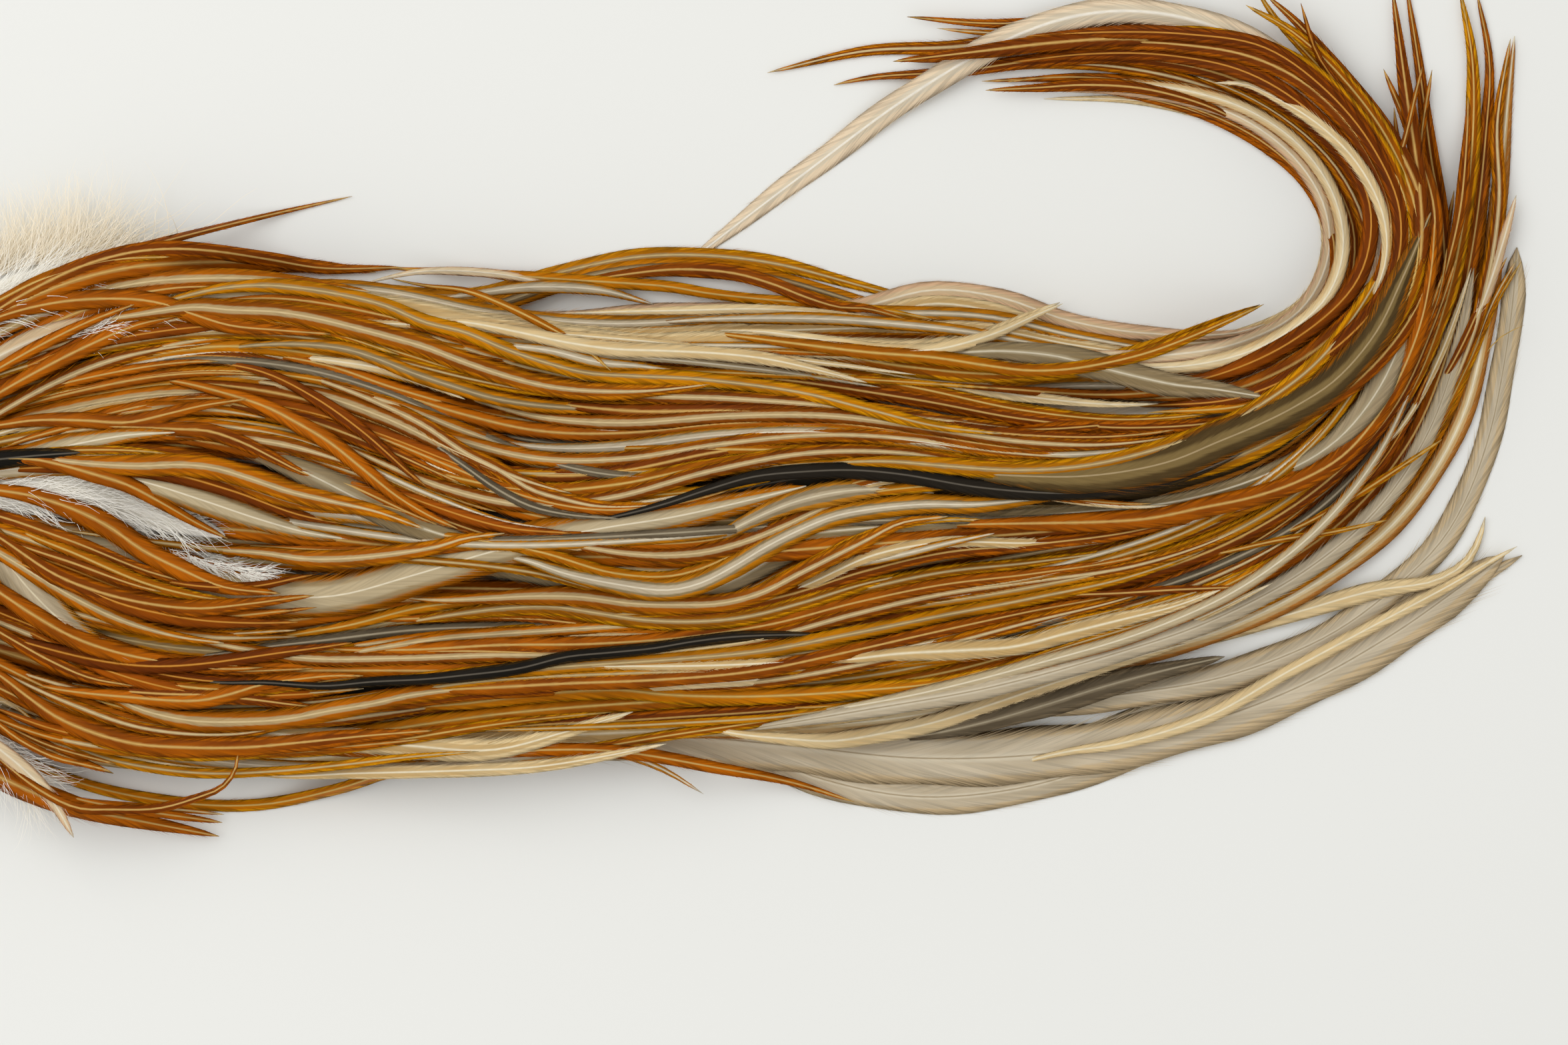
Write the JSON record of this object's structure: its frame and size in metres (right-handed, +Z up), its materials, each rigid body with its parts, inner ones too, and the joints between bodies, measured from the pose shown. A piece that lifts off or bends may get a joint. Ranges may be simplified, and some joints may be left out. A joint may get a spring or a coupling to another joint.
{
  "type": "rooster saddle hackle",
  "caption": "Long narrow rooster saddle feathers on a patch of dried skin, lying flat and sweeping round in a curl at the tips.",
  "frame": {"origin": "middle of the footprint on the table, under the feathers", "axes": "+X from the skin along the feathers towards their tips, +Y towards the side that the tips curl to, +Z up from the table"},
  "size_m": [0.3066, 0.129, 0.0169],
  "materials": {
    "ginger_feather": "silky",
    "golden_feather": "silky",
    "cream_feather": "silky",
    "taupe_feather": "silky",
    "black_feather": "silky",
    "down_feather": "matte",
    "dried_skin": "satin"
  },
  "bodies": {
    "root": {"skin_patch": "dried_skin", "trailing_grey_1": "taupe_feather", "trailing_grey_2": "taupe_feather", "rising_grey": "taupe_feather", "kinked_tan": "cream_feather", "edge_cream": "cream_feather", "outer_ginger_1": "ginger_feather", "outer_ginger_2": "ginger_feather", "outer_ginger_3": "ginger_feather", "outer_ginger_4": "ginger_feather", "curl_1": "cream_feather", "curl_2": "ginger_feather", "curl_3": "ginger_feather", "curl_4": "ginger_feather", "curl_5": "ginger_feather", "curl_6": "ginger_feather", "curl_7": "ginger_feather", "curl_cream": "cream_feather", "low_ginger_1": "ginger_feather", "low_ginger_2": "ginger_feather", "low_golden": "golden_feather", "low_ginger_3": "ginger_feather", "bottom_loop": "ginger_feather", "low_stray_1": "cream_feather", "low_stray_2": "cream_feather", "mid_ginger_1": "ginger_feather", "mid_taupe": "taupe_feather", "mid_ginger_2": "ginger_feather", "bend_taupe": "taupe_feather", "black_low": "black_feather", "black_long": "black_feather", "bend_olive": "taupe_feather", "arch_olive": "golden_feather", "arch_cream": "cream_feather", "upper_ginger_1": "ginger_feather", "upper_grey": "taupe_feather", "upper_cream_1": "cream_feather", "upper_cream_2": "cream_feather", "orange_single": "golden_feather", "upper_cream_3": "cream_feather", "low_cream": "cream_feather", "cross_cream": "cream_feather", "fall_1": "ginger_feather", "fall_2": "ginger_feather", "fall_3": "ginger_feather", "fall_4": "ginger_feather", "down_middle": "down_feather", "fall_5": "ginger_feather", "wide_tan": "taupe_feather", "spindle_ginger": "ginger_feather", "left_ginger_1": "ginger_feather", "left_ginger_2": "ginger_feather", "left_ginger_3": "ginger_feather", "left_ginger_4": "ginger_feather", "down_lower": "down_feather", "left_low_1": "ginger_feather", "left_low_2": "ginger_feather", "down_upper": "down_feather", "crown_ginger": "ginger_feather", "upper_stray": "ginger_feather"}
  },
  "joints": []
}
